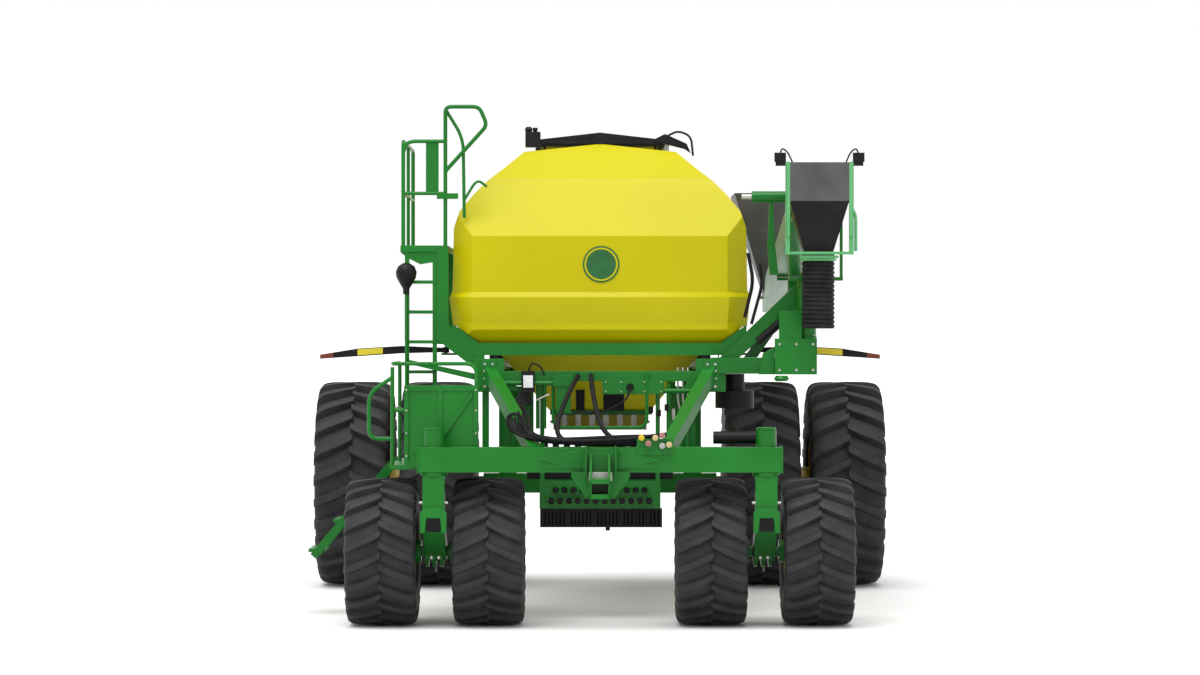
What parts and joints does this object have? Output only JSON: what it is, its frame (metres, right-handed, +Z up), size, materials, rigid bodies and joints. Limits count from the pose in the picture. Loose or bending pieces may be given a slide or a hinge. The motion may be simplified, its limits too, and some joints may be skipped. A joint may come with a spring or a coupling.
{
  "type": "tow-behind air seed cart",
  "caption": "Towed seed and grain cart with hopper tanks, dual caster and dual rear wheels, swing-out loading conveyor, meters, fan, walkways and folding stairs.",
  "frame": {"origin": "on the ground, under the middle of the cart's length and width", "axes": "+Y from the hitch to the rear, +Z up, +X towards the conveyor side"},
  "size_m": [5.81, 8.1999, 4.64],
  "materials": {
    "green_paint": "gloss enamel",
    "yellow_poly": "moulded, glossy",
    "rim_yellow": "gloss enamel",
    "tyre_rubber": "matte",
    "black_rubber": "matte",
    "belt_rubber": "matte",
    "black_paint": "satin",
    "grey_hood": "satin",
    "zinc_steel": "zinc plated",
    "black_plastic": "moulded"
  },
  "bodies": {
    "cart_frame": {"conveyor_base": "green_paint", "fan_housing": "black_paint", "frame_crossmembers": "green_paint", "frame_rails": "green_paint", "front_braces": "green_paint", "front_crossbeam": "green_paint", "hitch_clevis": "green_paint", "hose_couplers": "zinc_steel", "hose_guard": "green_paint", "hose_lower": "black_rubber", "hose_upper": "black_rubber", "ladder": "green_paint", "lid_hinges": "zinc_steel", "lower_guard_rail": "green_paint", "lower_platform": "green_paint", "meter_housings": "zinc_steel", "outlet_plate": "green_paint", "rear_axle": "green_paint", "rubber_mounts": "black_rubber", "tank_cradle": "green_paint", "tank_front": "yellow_poly", "tank_middle": "yellow_poly", "tank_rear": "yellow_poly", "tool_box": "green_paint", "tube_rack": "black_paint", "upper_guard_rail": "green_paint", "upper_platform": "green_paint"},
    "lid_front_body": {"lid_front": "black_plastic"},
    "meter_front_body": {"meter_roller_front": "zinc_steel"},
    "lid_middle_body": {"lid_middle": "black_plastic"},
    "meter_middle_body": {"meter_roller_middle": "zinc_steel"},
    "lid_rear_body": {"lid_rear": "black_plastic"},
    "meter_rear_body": {"meter_roller_rear": "zinc_steel"},
    "fan_wheel": {"fan_impeller": "zinc_steel"},
    "stairs": {"folding_stairs": "green_paint"},
    "swing": {"swing_arm": "green_paint"},
    "conveyor": {"conveyor_frame": "green_paint", "conveyor_belt": "belt_rubber", "spout_hood": "grey_hood", "spout_frame": "green_paint", "spout_sock": "black_rubber", "intake_hopper": "black_rubber"},
    "head_drum": {"head_roller": "zinc_steel"},
    "tail_drum": {"tail_roller": "zinc_steel"},
    "marker_left": {"marker_arm_left": "black_paint"},
    "caster_left": {"caster_leg_left": "green_paint"},
    "front_wheel_left_outer": {"front_tyre_left_outer": "tyre_rubber", "front_rim_left_outer": "rim_yellow"},
    "front_wheel_left_inner": {"front_tyre_left_inner": "tyre_rubber", "front_rim_left_inner": "rim_yellow"},
    "rear_wheels_left": {"rear_tyres_left": "tyre_rubber", "rear_rims_left": "rim_yellow"},
    "marker_right": {"marker_arm_right": "black_paint"},
    "caster_right": {"caster_leg_right": "green_paint"},
    "front_wheel_right_outer": {"front_tyre_right_outer": "tyre_rubber", "front_rim_right_outer": "rim_yellow"},
    "front_wheel_right_inner": {"front_tyre_right_inner": "tyre_rubber", "front_rim_right_inner": "rim_yellow"},
    "rear_wheels_right": {"rear_tyres_right": "tyre_rubber", "rear_rims_right": "rim_yellow"}
  },
  "joints": [
    {"name": "lid_front_hinge", "type": "hinge", "parent": "cart_frame", "child": "lid_front_body", "pos_m": [0.62, -1.575, 4.33], "axis": [0, 1, 0], "range_deg": [0, 100]},
    {"name": "meter_front_spin", "type": "hinge", "parent": "cart_frame", "child": "meter_front_body", "pos_m": [0, -1.575, 1.76], "axis": [1, 0, 0], "continuous": true},
    {"name": "lid_middle_hinge", "type": "hinge", "parent": "cart_frame", "child": "lid_middle_body", "pos_m": [0.62, 0.23, 4.33], "axis": [0, 1, 0], "range_deg": [0, 100]},
    {"name": "meter_middle_spin", "type": "hinge", "parent": "cart_frame", "child": "meter_middle_body", "pos_m": [0, 0.23, 1.76], "axis": [1, 0, 0], "continuous": true},
    {"name": "lid_rear_hinge", "type": "hinge", "parent": "cart_frame", "child": "lid_rear_body", "pos_m": [0.62, 2.055, 4.33], "axis": [0, 1, 0], "range_deg": [0, 100]},
    {"name": "meter_rear_spin", "type": "hinge", "parent": "cart_frame", "child": "meter_rear_body", "pos_m": [0, 2.055, 1.76], "axis": [1, 0, 0], "continuous": true},
    {"name": "fan_spin", "type": "hinge", "parent": "cart_frame", "child": "fan_wheel", "pos_m": [1.22, -2.25, 1.98], "axis": [0, 0, 1], "continuous": true},
    {"name": "stairs_fold", "type": "hinge", "parent": "cart_frame", "child": "stairs", "pos_m": [-1.89, -1.7, 1.4], "axis": [0, 1, 0], "range_deg": [0, 130]},
    {"name": "conveyor_swing", "type": "hinge", "parent": "cart_frame", "child": "swing", "pos_m": [1.85, -2.65, 2.8], "axis": [0, 0, 1], "range_deg": [-90, 0]},
    {"name": "conveyor_tilt", "type": "hinge", "parent": "swing", "child": "conveyor", "pos_m": [1.93, -2.65, 3.65], "axis": [1, 0, 0], "range_deg": [0, 6]},
    {"name": "head_roller_spin", "type": "hinge", "parent": "conveyor", "child": "head_drum", "pos_m": [1.93, -2.82108, 3.78326], "axis": [1, 0, 0], "continuous": true},
    {"name": "tail_roller_spin", "type": "hinge", "parent": "conveyor", "child": "tail_drum", "pos_m": [1.93, 3.47108, 2.96605], "axis": [1, 0, 0], "continuous": true},
    {"name": "marker_left_fold", "type": "hinge", "parent": "cart_frame", "child": "marker_left", "pos_m": [-1.4, -2.2, 2.42], "axis": [0, 0, 1], "range_deg": [-90, 0]},
    {"name": "caster_left_swivel", "type": "hinge", "parent": "cart_frame", "child": "caster_left", "pos_m": [-1.45, -3.5, 1.3], "axis": [0, 0, 1], "continuous": true},
    {"name": "front_wheel_left_outer_spin", "type": "hinge", "parent": "caster_left", "child": "front_wheel_left_outer", "pos_m": [-1.92, -3.05, 0.65], "axis": [1, 0, 0], "continuous": true},
    {"name": "front_wheel_left_inner_spin", "type": "hinge", "parent": "caster_left", "child": "front_wheel_left_inner", "pos_m": [-0.98, -3.05, 0.65], "axis": [1, 0, 0], "continuous": true},
    {"name": "rear_wheels_left_spin", "type": "hinge", "parent": "cart_frame", "child": "rear_wheels_left", "pos_m": [-2.08, 2.35, 1.042], "axis": [1, 0, 0], "continuous": true},
    {"name": "marker_right_fold", "type": "hinge", "parent": "cart_frame", "child": "marker_right", "pos_m": [1.4, -2.2, 2.42], "axis": [0, 0, 1], "range_deg": [0, 90]},
    {"name": "caster_right_swivel", "type": "hinge", "parent": "cart_frame", "child": "caster_right", "pos_m": [1.45, -3.5, 1.3], "axis": [0, 0, 1], "continuous": true},
    {"name": "front_wheel_right_outer_spin", "type": "hinge", "parent": "caster_right", "child": "front_wheel_right_outer", "pos_m": [1.92, -3.05, 0.65], "axis": [1, 0, 0], "continuous": true},
    {"name": "front_wheel_right_inner_spin", "type": "hinge", "parent": "caster_right", "child": "front_wheel_right_inner", "pos_m": [0.98, -3.05, 0.65], "axis": [1, 0, 0], "continuous": true},
    {"name": "rear_wheels_right_spin", "type": "hinge", "parent": "cart_frame", "child": "rear_wheels_right", "pos_m": [2.08, 2.35, 1.042], "axis": [1, 0, 0], "continuous": true}
  ],
  "couplings": [
    {"joint": "tail_roller_spin", "follows": "head_roller_spin", "ratio": 1}
  ]
}
